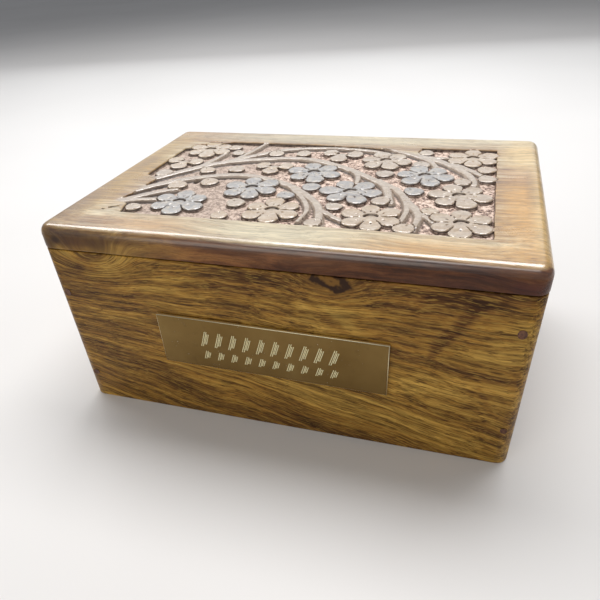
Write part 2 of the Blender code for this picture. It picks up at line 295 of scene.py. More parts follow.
woodFigure = makeWoodFigure()
knotPull = makeKnotPull()
softPatch = makeSoftPatch()
satinFinish = makeSatin()
print("shared shader groups built")


# mesh helpers

def makeBlock(low, high):
    form = bmesh.new()
    bmesh.ops.create_cube(form, size=1.0)
    low, high = Vector(low), Vector(high)
    bmesh.ops.scale(form, vec=high - low, verts=form.verts)
    bmesh.ops.translate(form, vec=(low + high) / 2, verts=form.verts)
    return form


def bevelEdges(form, wanted, width, steps):
    edges = [edge for edge in form.edges if wanted(edge)]
    bmesh.ops.bevel(form, geom=edges, offset=width, offset_type="OFFSET", segments=steps,
                    profile=0.5, affect="EDGES", material=-1)


def isUpright(edge):
    a, b = (vert.co for vert in edge.verts)
    return (a - b).xy.length < 1e-7


def allAt(item, axis, place):
    return all(abs(vert.co[axis] - place) < 2e-6 for vert in item.verts)


def insetWide(form, least, width):
    # a narrow flat band round each wide face keeps smooth shading to the rounded edges
    wide = [face for face in form.faces if face.calc_area() > least]
    bmesh.ops.inset_individual(form, faces=wide, thickness=width, use_even_offset=True)


def finishPiece(form, name, material, nodes, sharp=math.radians(38)):
    bmesh.ops.recalc_face_normals(form, faces=form.faces)
    for face in form.faces:
        face.smooth = True
    for edge in form.edges:
        edge.smooth = edge.calc_face_angle(0.0) < sharp
    mesh = bpy.data.meshes.new(name)
    form.to_mesh(mesh)
    form.free()
    mesh.materials.append(material)
    piece = addObject(name, mesh)
    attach(piece, "root")
    if nodes:
        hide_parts(*nodes)
    return piece


def newMaterial(name):
    material = bpy.data.materials.new(name)
    material.use_nodes = True
    tree = material.node_tree
    place = node(tree, "ShaderNodeTexCoord").outputs["Object"]
    return material, tree, tree.nodes["Principled BSDF"], place


# body boards

bodyWood = {
    "dark": (0.085, 0.030, 0.005),
    "brown": (0.188, 0.086, 0.018),
    "golden": (0.312, 0.156, 0.026),
    "straw": (0.505, 0.305, 0.064),
    "pore": (0.040, 0.014, 0.003),
    "ringDark": (0.040, 0.016, 0.006),
    "ringLight": (0.23, 0.110, 0.022),
    "slope": 0.24,  # how much the grain falls to the right in the lower part
    "slopeMiddle": 0.05,  # X where the fall leaves it in place
    "slopeSpan": (0.060, 0.012),  # heights between which it sets in
    "wander": 0.008,
    "curl": 0.55,
    "streaks": (1.00, 0.48),  # how strongly they shade, and the shade between them
    "glints": 0.50,
    "flecks": 0.80,
    "roughness": 0.40,
    "coat": 0.03,
}
board = {
    "cornerRadius": 0.0039,
    "cornerSteps": 8,
    "ease": 0.0003,
    "easeSteps": 2,
    "band": 0.0003,
}
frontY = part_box("front_board")[0].y
knots = {  # centre, 1/size, pull
    "seamKnot": {"Centre": (0.0199, frontY, 0.0606), "Stretch": (112, 40, 190), "Pull": 0.0060},
    "ovalBurr": {"Centre": (-0.0580, frontY, 0.0600), "Stretch": (66, 25, 125), "Pull": 0.0105},
}
faceShades = (  # in mm: centre x and z, turn in degrees, half length, half width, how much lighter or darker
    (56, 51, 58, 10, 1.7, -0.42), (50.2, 43, 75, 4.5, 1.5, -0.25), (69.5, 49, 75, 11, 4, 0.06),
    (20, 49, -24, 9, 2, 0.22), (16.5, 49.8, -39, 9, 1.5, -0.26), (-36, 53.2, 12, 15, 2.2, 0.26),
    (-63, 58, 8, 5, 2.4, -0.40), (-47, 46, 10, 6, 2.5, -0.18), (65.5, 26.5, -60, 3.5, 0.8, -0.30),
    (-60, 9, -8, 22, 7, -0.10), (35, 20, -14, 30, 8, 0.05), (-10, 57, 2, 14, 2.5, -0.16),
    (50, 52, 20, 24, 10, -0.36), (-52, 55.5, 10, 12, 1.6, 0.30),
)


def makeBodyWood(name, turned=False, figured=False):
    material, tree, shader, place = newMaterial(name)
    if turned:  # the end boards' grain runs front to back
        place = node(tree, "ShaderNodeMapping", {"Vector": place, "Rotation": (0, 0, math.pi / 2),
                                                 "Location": (0.31, 0.17, 0.05)}).outputs[0]
    parts = node(tree, "ShaderNodeSeparateXYZ", {0: place}).outputs
    across = parts[2]
    if figured:
        lower = span(tree, parts[2], *bodyWood["slopeSpan"])
        slope = bodyWood["slope"]
        fall = calc(tree, "MULTIPLY_ADD", parts[0], slope, -bodyWood["slopeMiddle"] * slope)
        across = calc(tree, "MULTIPLY_ADD", fall, lower, across)
        seamKnot, ovalBurr = (use(tree, knotPull, {"Vector": place, **knot}) for knot in knots.values())
        across = calc(tree, "ADD", calc(tree, "ADD", across, seamKnot["Offset"]), ovalBurr["Offset"])
    grainPlace = node(tree, "ShaderNodeCombineXYZ", {0: parts[0], 1: parts[1], 2: across}).outputs[0]
    figure = use(tree, woodFigure, {"Vector": grainPlace, "Wander": bodyWood["wander"],
                                    "Curl": bodyWood["curl"]})
    tone = figure["Tone"]
    if figured:
        for x, z, turn, length, width, amount in faceShades:
            patch = use(tree, softPatch, {
                "Vector": place, "Centre": (x * mm, frontY, z * mm), "Turn": (0, -math.radians(turn), 0),
                "Size": (length * mm, 0.02, width * mm), "Edge": 0.7,
            })["Mask"]
            tone = calc(tree, "MULTIPLY_ADD", patch, amount, tone, clamp=True)
    colour = ramp(tree, tone, ((0.0, bodyWood["dark"]), (0.33, bodyWood["brown"]),
                               (0.62, bodyWood["golden"]), (1.0, bodyWood["straw"])))
    colour = shadeBy(tree, colour, calc(tree, "MULTIPLY_ADD", figure["Streaks"], *bodyWood["streaks"]))
    colour = mixColour(tree, times(tree, figure["Glints"], bodyWood["glints"]), colour, bodyWood["straw"])
    colour = mixColour(tree, times(tree, figure["Flecks"], bodyWood["flecks"]), colour, bodyWood["pore"])
    if figured:
        rings = ramp(tree, seamKnot["Rings"], ((0.15, bodyWood["ringDark"]), (0.8, bodyWood["ringLight"])))
        colour = mixColour(tree, seamKnot["Core"], colour, rings)
    satin = use(tree, satinFinish, {"Vector": place, "Roughness": bodyWood["roughness"], "Spread": 0.16})
    bump = node(tree, "ShaderNodeBump", {"Strength": 0.35, "Distance": 0.00012, "Height": figure["Height"]})
    plug(tree, shader, {
        "Base Color": colour, "Roughness": satin["Roughness"], "Normal": bump.outputs[0],
        "Coat Weight": bodyWood["coat"], "Coat Roughness": 0.16, "Specular IOR Level": 0.16,
    })
    return material


def makeBoards():
    faceWood = makeBodyWood("figuredBodyWood", figured=True)
    plainWood = makeBodyWood("plainBodyWood")
    endWood = makeBodyWood("endBodyWood", turned=True)
    plans = (
        ("frontBoard", "front_board", faceWood, -1),
        ("backBoard", "back_board", plainWood, 1),
        ("leftEndBoard", "left_end_board", endWood, 0),
        ("rightEndBoard", "right_end_board", endWood, 0),
        ("baseBoard", "base_board", plainWood, 0),
    )
    for name, cadNode, material, outer in plans:
        low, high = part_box(cadNode)
        form = makeBlock(low, high)
        if outer:
            outerY = high.y if outer > 0 else low.y
            bevelEdges(form, lambda e: isUpright(e) and allAt(e, 1, outerY),
                       board["cornerRadius"], board["cornerSteps"])
        bevelEdges(form, lambda e: allAt(e, 2, low.z) or allAt(e, 2, high.z),
                   board["ease"], board["easeSteps"])
        insetWide(form, 1.0e-4, board["band"])
        finishPiece(form, name, material, [cadNode])
    print("body boards made")


# nail holes filled with putty

fillers = {
    "front": ((0.0718, 0.0504), (0.0729, 0.0147), (-0.0721, 0.0461), (-0.0723, 0.0113)),
    "back": ((0.0722, 0.0480), (0.0716, 0.0130), (-0.0725, 0.0495), (-0.0719, 0.0121)),
    "radius": 0.00125,
    "proud": 0.00014,
    "dish": 0.00009,
    "depth": 0.0012,
    "darkPutty": (0.060, 0.018, 0.008),
    "redPutty": (0.20, 0.075, 0.028),
}


def makeFillerPutty():
    material, tree, shader, place = newMaterial("nailPutty")
    grit = noise(tree, place, 1400, 3, 0.6)
    colour = ramp(tree, grit.outputs[0], ((0.35, fillers["darkPutty"]), (0.7, fillers["redPutty"])))
    satin = use(tree, satinFinish, {"Vector": place, "Roughness": 0.45, "Spread": 0.1})
    bump = node(tree, "ShaderNodeBump", {"Strength": 0.4, "Distance": 0.0001, "Height": grit.outputs[0]})
    plug(tree, shader, {"Base Color": colour, "Roughness": satin["Roughness"], "Normal": bump.outputs[0]})
    return material


def makeFillers():
    form = bmesh.new()
    for side, cadNode in ((-1, "front_board"), (1, "back_board")):
        low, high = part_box(cadNode)
        faceY = (low.y if side < 0 else high.y) + side * fillers["proud"]
        for i, (x, z) in enumerate(fillers["front" if side < 0 else "back"]):
            turn = Matrix.Rotation(math.pi / 2, 4, "X")
            squeeze = Matrix.Diagonal((1 + 0.18 * math.sin(5 * i), 1, 1 + 0.15 * math.cos(3 * i), 1))
            spot = Matrix.Translation((x, faceY, z))
            made = bmesh.ops.create_circle(form, cap_ends=True, segments=20, radius=fillers["radius"],
                                           matrix=spot @ squeeze @ turn)["verts"]
            disc = made[0].link_faces[0]
            raised = bmesh.ops.extrude_face_region(form, geom=[disc])["geom"]
            back = [item for item in raised if isinstance(item, bmesh.types.BMVert)]
            bmesh.ops.translate(form, vec=(0, -side * fillers["depth"], 0), verts=back)
            middle = Vector((x, faceY, z))
            front = [f for f in form.faces if len(f.verts) == 20 and allAt(f, 1, faceY)
                     and (f.calc_center_median() - middle).length < 1e-4]
            bmesh.ops.inset_individual(form, faces=front, thickness=fillers["radius"] * 0.35)
            bmesh.ops.translate(form, vec=(0, -side * fillers["dish"], 0), verts=front[0].verts)
    finishPiece(form, "nailFillers", makeFillerPutty(), [])
    print("nail fillers made")


# name plate

plate = {
    "length": 0.0762,
    "height": 0.01905,
    "tilt": 0.57,  # degrees, right end lower
    "edge": 0.00028,
    "strokeField": 0.0480,
    "strokeSlant": 18,
    "pairGap": 0.0010,
    "lineGap": 0.00030,
    "lineWidth": 0.00042,
    "lineDepth": 0.00014,
    "rows": ((0.0064, 0.0021, 10), (0.0036, -0.0043, 10)),  # stroke height, centre, pairs
    "brass": ((0.25, (0.165, 0.100, 0.032)), (0.6, (0.215, 0.137, 0.048)), (0.85, (0.27, 0.185, 0.07))),
    "tarnish": (0.12, 0.075, 0.03),
    "bareEdgeAndHighlight": (0.95, 0.87, 0.60),
    "bareEdgeAndHighlightDepth": (0.00001, 0.00008),  # behind the face
    "dust": (0.60, 0.55, 0.40),
    "cutBrass": ((0.3, (0.80, 0.73, 0.45)), (0.7, (0.98, 0.95, 0.72))),
}


def makeBrass():
    material, tree, shader, place = newMaterial("satinBrass")
    brushed = node(tree, "ShaderNodeMapping", {"Vector": place, "Scale": (60, 1200, 2600)}).outputs[0]
    hair = noise(tree, brushed, 1.0, 2, 0.6).outputs[0]
    cloud = noise(tree, place, 60, 3, 0.55).outputs[0]
    tarnish = noise(tree, place, 420, 3, 0.6).outputs[0]
    colour = ramp(tree, cloud, plate["brass"])
    colour = mixColour(tree, span(tree, tarnish, 0.55, 0.75, 0.0, 0.35), colour, plate["tarnish"])
    placeY = node(tree, "ShaderNodeSeparateXYZ", {0: place}).outputs[1]
    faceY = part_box("name_plate")[0].y
    edgeAndHighlight = span(tree, placeY, *(faceY + depth for depth in plate["bareEdgeAndHighlightDepth"]))
    colour = mixColour(tree, edgeAndHighlight, colour, plate["bareEdgeAndHighlight"])  # the edges are painted bright: bare sheared brass, and a painted highlight along them
    satin = use(tree, satinFinish, {"Vector": place, "Roughness": 0.34, "Spread": 0.18})
    rare = span(tree, tarnish, 0.60, 0.66)
    speck = mixColour(tree, times(tree, satin["Dust"], rare), colour, plate["dust"])
    bump = node(tree, "ShaderNodeBump", {"Strength": 0.15, "Distance": 0.00004, "Height": hair})
    plug(tree, shader, {"Base Color": speck, "Roughness": satin["Roughness"], "Metallic": 1.0,
                        "Normal": bump.outputs[0]})
    return material


def makeCutBrass():
    material, tree, shader, place = newMaterial("freshCutBrass")
    chatter = noise(tree, place, 2400, 2, 0.6).outputs[0]
    colour = ramp(tree, chatter, plate["cutBrass"])
    rough = span(tree, chatter, 0.3, 0.7, 0.4, 0.6)
    plug(tree, shader, {"Base Color": colour, "Metallic": 0.5, "Roughness": rough})
    return material


def makePlate():
    low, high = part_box("name_plate")
    thickness = high.y - low.y
    half = Vector((plate["length"], thickness, plate["height"])) / 2
    middle = (low + high) / 2
    form = makeBlock(-half, half)
    bevelEdges(form, lambda e: allAt(e, 1, -half.y), plate["edge"], 2)
    bevelEdges(form, lambda e: allAt(e, 1, half.y), plate["edge"] / 2, 1)
    insetWide(form, 1.0e-3, 0.0002)
    cutter = bmesh.new()
    lean = Matrix.Rotation(math.radians(plate["strokeSlant"]), 4, "Y")
    for height, centre, pairs in plate["rows"]:
        pitch = plate["strokeField"] / pairs
        for i in range(pairs):
            for side, share in ((-1, 1.0), (1, 0.7)):
                for line in (-1, 1):
                    x = -plate["strokeField"] / 2 + pitch * (i + 0.5) + side * plate["pairGap"] / 2
                    x += line * plate["lineGap"] * (1.0 if side < 0 else 0.9)
                    made = bmesh.ops.create_cube(cutter, size=1.0)["verts"]
                    size = Vector((plate["lineWidth"], 2 * plate["lineDepth"], height * share))
                    bmesh.ops.scale(cutter, vec=size, verts=made)
                    deep = [vert for vert in made if vert.co.y > 0]
                    bmesh.ops.scale(cutter, vec=(0.35, 1, 0.94), verts=deep)  # a V-shaped cut
                    spot = Vector((x, -half.y, centre))
                    bmesh.ops.transform(cutter, matrix=Matrix.Translation(spot) @ lean, verts=made)
    brass, cut = makeBrass(), makeCutBrass()
    solid, blade = bpy.data.meshes.new("plateBlank"), bpy.data.meshes.new("plateStrokes")
    form.to_mesh(solid)
    cutter.to_mesh(blade)
    form.free()
    cutter.free()
    solid.materials.append(brass)
    blade.materials.append(cut)
    blank, strokes = addObject("plateBlank", solid), addObject("plateStrokes", blade)
    engrave = blank.modifiers.new("engrave", "BOOLEAN")
    engrave.object = strokes
    engrave.operation = "DIFFERENCE"
    engrave.solver = "EXACT"
    engrave.material_mode = "TRANSFER"
    bpy.context.view_layer.update()
    cutMesh = bpy.data.meshes.new_from_object(blank.evaluated_get(bpy.context.evaluated_depsgraph_get()))
    for item in (blank, strokes):
        bpy.data.objects.remove(item)
    turn = Matrix.Rotation(math.radians(plate["tilt"]), 4, "Y")
    cutMesh.transform(Matrix.Translation(middle) @ turn)
    form = bmesh.new()
    form.from_mesh(cutMesh)
    bmesh.ops.remove_doubles(form, verts=form.verts, dist=1e-7)
    piece = finishPiece(form, "namePlate", brass, ["name_plate"])
    piece.data.materials.append(cut)
    print("name plate made:", len(piece.data.polygons), "faces", [m.name for m in piece.data.materials])


# carved lid

lid = {
    "roundOver": 0.0032,
    "roundSteps": 9,
    "cornerRadius": 0.0040,
    "cornerSteps": 8,
    "lowerEase": 0.0004,
    "fieldDepth": 0.0030,
    "fieldClearance": 0.0008,
    "marginLeft": 0.0131,
    "marginRight": 0.0149,
    "marginFront": 0.0146,
    "marginBack": 0.0156,
    "apron": 0.0014,
    "cell": 0.00034,
    "band": 0.00025,
}


def panelArea(wider=0.0):
    # left, right, front and back of the carved panel
    low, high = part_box("lid")
    return (low.x + lid["marginLeft"] - wider, high.x - lid["marginRight"] + wider,
            low.y + lid["marginFront"] - wider, high.y - lid["marginBack"] + wider)


# the pattern as drawn, in millimetres from the lid's centre
drawn = {"length": 124.6, "width": 76.4, "centre": (-0.9, -0.5)}
flowers = (  # centre x, centre y, turn of the first petal in degrees, reach
    (15.8, -9.8, -2, 7.1), (26.2, -29.1, -20, 6.4), (52.2, -29.2, -28, 6.3), (50.5, -8.5, -9, 6.6),
    (37.9, 8.2, -8, 6.7), (22.2, 22.4, -8, 6.3), (53.0, 28.4, -28, 6.3), (-1.3, 6.5, -12, 6.7),
    (-18.7, -11.3, -15, 6.8), (-5.3, -28.8, -21, 6.4), (-38.6, -27.0, -24, 6.6), (-51.8, 27.6, -20, 6.4),
)
halfFlowers = ((4.3, 27.5, 162, 4.4), (-18.0, 10.6, 166, 4.2), (-55.6, 11.6, 160, 4.3))
leaves = (  # middle x, middle y, direction of the tip in degrees, length
    (-58.0, -1.0, -60, 6.8), (-46.6, -12.5, -60, 7.0), (-36.4, -7.6, -55, 7.0), (-42.4, 4.0, -50, 6.6),
    (-31.3, 6.2, -75, 6.2), (-22.2, 26.0, -70, 6.6), (-11.0, 26.9, -85, 6.2), (-4.9, -16.1, -60, 6.0),
    (1.4, -7.3, -30, 6.8), (-19.2, -24.7, -50, 6.4), (-20.6, -35.0, -75, 5.8), (-52.3, -33.4, -50, 5.4),
    (10.2, -35.6, -100, 5.6), (13.2, -22.5, -40, 6.0), (27.0, -16.1, -110, 6.4), (23.9, 8.8, -30, 6.5),
    (35.9, -6.3, -40, 6.8), (42.7, -21.9, -35, 5.6), (36.9, -34.9, -110, 6.6), (35.3, 19.4, -80, 6.2),
    (35.8, 33.3, -85, 6.0), (50.7, 3.9, -80, 6.0), (58.4, 8.0, -75, 6.4), (57.9, 16.6, -60, 6.2),
    (-42.2, 31.6, -60, 6.0), (-38.0, 24.8, -70, 5.6),
)
stems = (  # width, points along the middle
    (3.4, ((-64, -28), (-57.5, -17), (-44.9, -5.8), (-28, 0.4), (-11, -4.3), (1, -13.6), (8.6, -24),
           (12, -37))),
    (2.0, ((-4, -10.5), (3, -20), (5.8, -28), (5.2, -35.5))),
    (2.2, ((10.5, -26.5), (14.2, -29.8), (19, -33.5))),
    (3.4, ((-65, -16), (-56.5, -5), (-41.5, 11.5), (-20, 19.9), (-6, 20.3), (10, 11.9), (25, -2), (30, -17))),
    (2.2, ((10, 12.2), (14.9, 5.8), (16.2, -2))),
    (2.4, ((23, 2), (30.6, -6.6), (35.6, -19), (35.4, -30))),
    (2.8, ((30, -5), (35, -14.5), (39.6, -25), (39.4, -36))),
    (2.0, ((38, -19), (40.7, -24.4), (45, -30.5))),
    (2.8, ((-40, 12.5), (-29, 23.5), (-18, 31.6), (-2, 34.9), (14, 33.4), (25, 28.6))),
    (2.8, ((12, 40), (24, 34.8), (36.5, 25.5), (42, 15))),
    (3.4, ((33, 29.5), (43, 23), (49.5, 15.5), (53.5, 8), (54.5, 1.5))),
    (2.6, ((45, 23), (50.8, 17.8), (58, 9.5))),
    (2.0, ((36.5, 28), (46, 27.4))),
    (2.4, ((-36, 17.5), (-33.2, 26), (-30.6, 38))),
    (2.4, ((-47.5, 6), (-44.6, 15), (-42.6, 25))),
    (3.0, ((-64, -32.5), (-55, -27.6), (-44, -25.2))),
    (3.0, ((-63, -31.5), (-55.5, -24.5), (-50, -19.6), (-45, -16.6))),
)
uncutLeft = ((-70, -4.6), (-63.2, -4.6), (-57.2, -7.5), (-57.9, -14.5), (-58.6, -22), (-60.8, -29.4),
             (-56.0, -31.4), (-54.2, -38.7), (-54.2, -46), (-70, -46))
uncutBack = ((33.6, 46), (33.6, 37.7), (33.2, 29.0), (27.0, 32.9), (20.0, 35.4), (8.0, 36.5),
             (-8.0, 37.7), (-8.0, 46))
uncutCorner = ((-45, 37.7), (-45, 46), (-70, 46), (-70, 27), (-63.2, 27))
pits = (  # stray deep cuts, also painted with shade: x, y, turn, length, width, depth
    (-41.8, -7.2, 70, 3.4, 2.2, 0.9), (-29.0, -6.6, 60, 3.4, 2.2, 0.9), (-58.6, -35.0, 35, 5.4, 1.6, 0.8),
    (-38.6, 1.2, 20, 3.0, 1.2, 0.4), (-61.4, -37.2, -20, 2.4, 1.0, 0.4),
)

# the carver's forms, in millimetres
carving = {
    "depth": 1.4,
    "groundRise": 0.24,
    "petalRadius": 3.12,
    "petalDrop": 0.12,
    "petalBowl": 0.22,
    "rootReach": 1.6,
    "rootHalfWidth": 1.05,
    "neckHalfWidth": 1.75,
    "buttonRadius": 2.3,
    "buttonSink": 0.34,
    "stemDrop": 0.16,
    "stemFoot": 1.14,
    "halfFlowerSize": 1.08,
    "leafWidth": 0.94,
    "shoulder": 0.24,
    "cutWidth": 0.24,
    "cutDepth": 0.70,
    "lump": 0.10,
    "punchPitch": 1.0,
    "punchDepth": 0.24,
    "footCut": 0.18,
    "roundCut": 0.40,
    "roundCutDepth": 0.75,
    "frontTurn": -75,  # degrees of the petal nearest the front
    "waver": 0.14,
}
sheenPlaces = (  # painted sheen: places where the carved forms are painted a cool grey for the reflection they show: x, y, reach
    (-3, -14, 7), (14, -9, 9), (36, -5, 6), (38, 7, 9), (-19, -12, 8), (-42, -27, 9), (1, -8, 5), (-1, 7, 5),
)
maskNames = ("formMask", "formSheen", "cutShadeMask", "panelMask", "slopeMask")


def smoothPath(points, step):
    # points about a step apart on the smooth curve through the given ones
    points = [Vector(point) for point in points]
    guide = [points[0] * 2 - points[1], *points, points[-1] * 2 - points[-2]]
    path = [points[0]]
    for a, b, c, d in zip(guide, guide[1:], guide[2:], guide[3:]):
        count = max(1, round((c - b).length / step))
        for i in range(1, count + 1):
            t = i / count
            path.append(0.5 * (2 * b + (c - a) * t + (2 * a - 5 * b + 4 * c - d) * t * t
                               + (3 * b - a - 3 * c + d) * t ** 3))
    return np.array([tuple(point) for point in path])


def lattice(x, y, seed):
    # a repeatable value from 0 to 1 for each whole-numbered place
    mixed = np.sin(x * 127.1 + y * 311.7 + seed * 74.7) * 43758.5453
    return mixed - np.floor(mixed)


def ripple(x, y, pitch, seed):
    # smooth noise from -1 to 1 with lumps about one pitch across
    u, v = x / pitch, y / pitch
    cu, cv = np.floor(u), np.floor(v)
    fu, fv = u - cu, v - cv
    fu, fv = fu * fu * (3 - 2 * fu), fv * fv * (3 - 2 * fv)
    low = lattice(cu, cv, seed) * (1 - fu) + lattice(cu + 1, cv, seed) * fu
    high = lattice(cu, cv + 1, seed) * (1 - fu) + lattice(cu + 1, cv + 1, seed) * fu
    return 2 * (low * (1 - fv) + high * fv) - 1


def punchMarks(x, y, pitch, seed):
    # 1 in the middle of each punched dent, 0 between the dents
    u, v = x / pitch, y / pitch
    cu, cv = np.floor(u), np.floor(v)
    nearest = np.full_like(u, 9.0)
    for du in (-1, 0, 1):
        for dv in (-1, 0, 1):
            pu, pv = cu + du, cv + dv
            spotU = pu + 0.5 + 0.8 * (lattice(pu, pv, seed) - 0.5)
            spotV = pv + 0.5 + 0.8 * (lattice(pu, pv, seed + 5) - 0.5)
            nearest = np.minimum(nearest, np.hypot(u - spotU, v - spotV))
    return np.clip(1 - nearest / 0.5, 0, 1)


def toSegment(x, y, start, end):
    # distance to a straight piece, and the share of it passed at its nearest point
    (ax, ay), (ex, ey) = start, end - start
    t = np.clip(((x - ax) * ex + (y - ay) * ey) / (ex * ex + ey * ey), 0, 1)
    return np.hypot(x - ax - t * ex, y - ay - t * ey), t


def alongAndBeside(x, y, cx, cy, degrees):
    # how far places lie along a direction from a centre, and beside it
    cos, sin = math.cos(math.radians(degrees)), math.sin(math.radians(degrees))
    return (x - cx) * cos + (y - cy) * sin, (y - cy) * cos - (x - cx) * sin


def outsideOf(x, y, corners):
    # signed distance to a closed outline, negative inside
    corners = np.array(corners, float)
    nearest = np.full_like(x, 1e9)
    inside = np.zeros(x.shape, bool)
    for start, end in zip(corners, np.roll(corners, -1, axis=0)):
        nearest = np.minimum(nearest, toSegment(x, y, start, end)[0])
        (ax, ay), (bx, by) = start, end
        crosses = (ay > y) != (by > y)
        with np.errstate(divide="ignore", invalid="ignore"):
            inside ^= crosses & (x < (bx - ax) * (y - ay) / (by - ay) + ax)
    return np.where(inside, -nearest, nearest)


def pathDistance(x, y, path, halfWidth):
    # distance to a band along a path whose half width may change along it
    nearest = np.full_like(x, 1e9)
    for start, end, wa, wb in zip(path, path[1:], halfWidth, halfWidth[1:]):
        distance, t = toSegment(x, y, start, end)
        nearest = np.minimum(nearest, distance - (wa + (wb - wa) * t))
    return nearest


def handShare(x, y, turn):
    # the same small difference from form to form as the solid has
    return 0.045 * math.sin(1.7 * x + 2.3 * y + 0.9 * turn)


def fadeIn(value, low, high):
    t = np.clip((value - low) / (high - low), 0, 1)
    return t * t * (3 - 2 * t)


def shoulderDrop(inside):
    # how far a form's rim is rounded down at this distance from its outline
    t = np.clip(inside / carving["shoulder"], 0, 1)
    return carving["shoulder"] * (1 - np.sqrt(1 - (1 - t) ** 2))


def carveFlower(x, y, flower, petals, spread, size=1.0):
    # distance to the flower's outline, its depth below the lid's top and how dark the painted shade in its
    # cuts is
    cx, cy, turn, reach = flower
    near = np.hypot(x - cx, y - cy)
    distances = []
    notch = np.zeros_like(x)
    bowl = np.zeros_like(x)
    directions = [turn + i * spread for i in range(petals)]
    frontPetal = max(directions, key=lambda each: math.cos(math.radians(each - carving["frontTurn"])))
    for direction in directions:
        share = handShare(cx, cy, direction)
        along, side = alongAndBeside(x, y, cx, cy, direction)
        lobe, radius = reach * (1 + share), carving["petalRadius"] * size * (1 + share)
        root = carving["neckHalfWidth"] if direction == frontPetal else carving["rootHalfWidth"]
        start = carving["rootReach"]
        t = np.clip((along - start) / (lobe - start), 0, 1)
        width = root + (radius - root) * t ** 0.9
        distances.append(np.hypot(along - (start + (lobe - start) * t), side) - width)
        mark = np.hypot((along - lobe * 0.70) / 0.75, side / 0.32)
        notch = np.maximum(notch, np.clip(1 - mark, 0, 1))
        hollow = 1.0 if math.sin(3.1 * direction + cx) > -0.3 else -0.7  # a few petals are crowned
        reachIn = np.clip(1 - np.hypot(along - lobe * 0.98, side) / (radius * 0.95), 0, 1)
        bowl = np.where(reachIn > 0, hollow * reachIn * (2 - reachIn), bowl)
    order = np.sort(np.array(distances), axis=0)
    between = (order[1] - order[0]) / 2
    apart = order[1] < 1.2
    button = carving["buttonRadius"]
    outward = fadeIn(near, button + 0.1, button + 1.6)
    inside = np.minimum(-order[0], np.where(apart, between / np.maximum(outward, 0.05), 9.0))
    depth = carving["petalDrop"] + shoulderDrop(inside) + carving["petalBowl"] * bowl
    depth += 0.40 * fadeIn(notch, 0.0, 0.6)
    split = np.clip(1 - between / carving["cutWidth"], 0, 1) * apart * outward
    # the round button lies below the petals behind it and runs out into the front petal
    ahead = alongAndBeside(x, y, cx, cy, frontPetal)[0]
    backward = fadeIn(-ahead, -0.9, 0.9)
    onButton = near < button
    sunk = carving["petalDrop"] + carving["buttonSink"] * backward * (0.75 + 0.25 * near / button)
    crescent = fadeIn(near, button - 0.70, button - 0.40) * fadeIn(-ahead, -0.2, 0.9)
    dot = np.clip(1 - near / 0.6, 0, 1)
    depth = np.where(onButton, sunk + 0.30 * crescent + 0.25 * dot, depth)
    # painted shade: the crescent, the dot and the splits between petals are marked for dark colour
    cuts = np.where(onButton, np.maximum(crescent, 0.6 * dot), split)
    depth += carving["cutDepth"] * np.where(onButton, 0, split)
    return np.minimum(order[0], near - button), depth, cuts, np.zeros_like(x)


def carveLeaf(x, y, leaf):
    cx, cy, turn, length = leaf
    along, side = alongAndBeside(x, y, cx, cy, turn)
    width = length * carving["leafWidth"] * (1 + handShare(cx, cy, turn))
    u = along / (length / 2)
    v = side / (width / 2 * (1 + 0.18 * np.clip(u, -1, 1)))
    ratio = np.maximum(np.hypot(u, v), 1e-6)
    distance = np.hypot(along, side) * (1 - 1 / ratio)
    distance = np.where(ratio < 0.3, -width / 4, distance)
    mark = fadeIn(np.clip(1 - np.hypot((along + length * 0.24) / 0.9, side / 0.28), 0, 1), 0, 0.7)
    depth = carving["petalDrop"] + shoulderDrop(-distance) + 0.35 * mark
    depth += 0.16 * np.clip(ratio, 0, 1) ** 3 * (1 if math.sin(5.3 * cx) > -0.2 else -0.6)
    # painted shade: the notch at the leaf's base is marked for dark colour
    return distance, depth, 0.6 * mark, np.zeros_like(x)


def carveStem(x, y, stem, order):
    # a ridge with smooth slopes down to the ground, with painted shade at its foot
    width, points = stem
    path = smoothPath(points, 1.2)
    t = np.linspace(0, 1, len(path))
    half = width / 2 * (1.06 - 0.22 * t ** 2)
    foot = carving["stemFoot"]
    distance = pathDistance(x, y, path, half * foot)
    share = np.clip(1 + distance / (width / 2 * foot), 0, 1)  # 0 on the ridge, 1 at the foot
    fall = fadeIn(share, 0.58, 1.05)
    depth = carving["stemDrop"] + 0.02 * (order % 3) + 0.10 * share + 0.85 * fall
    slope = fadeIn(share, 0.62, 0.80)
    return distance, depth, 0.9 * fadeIn(share, 0.80, 1.0), slope


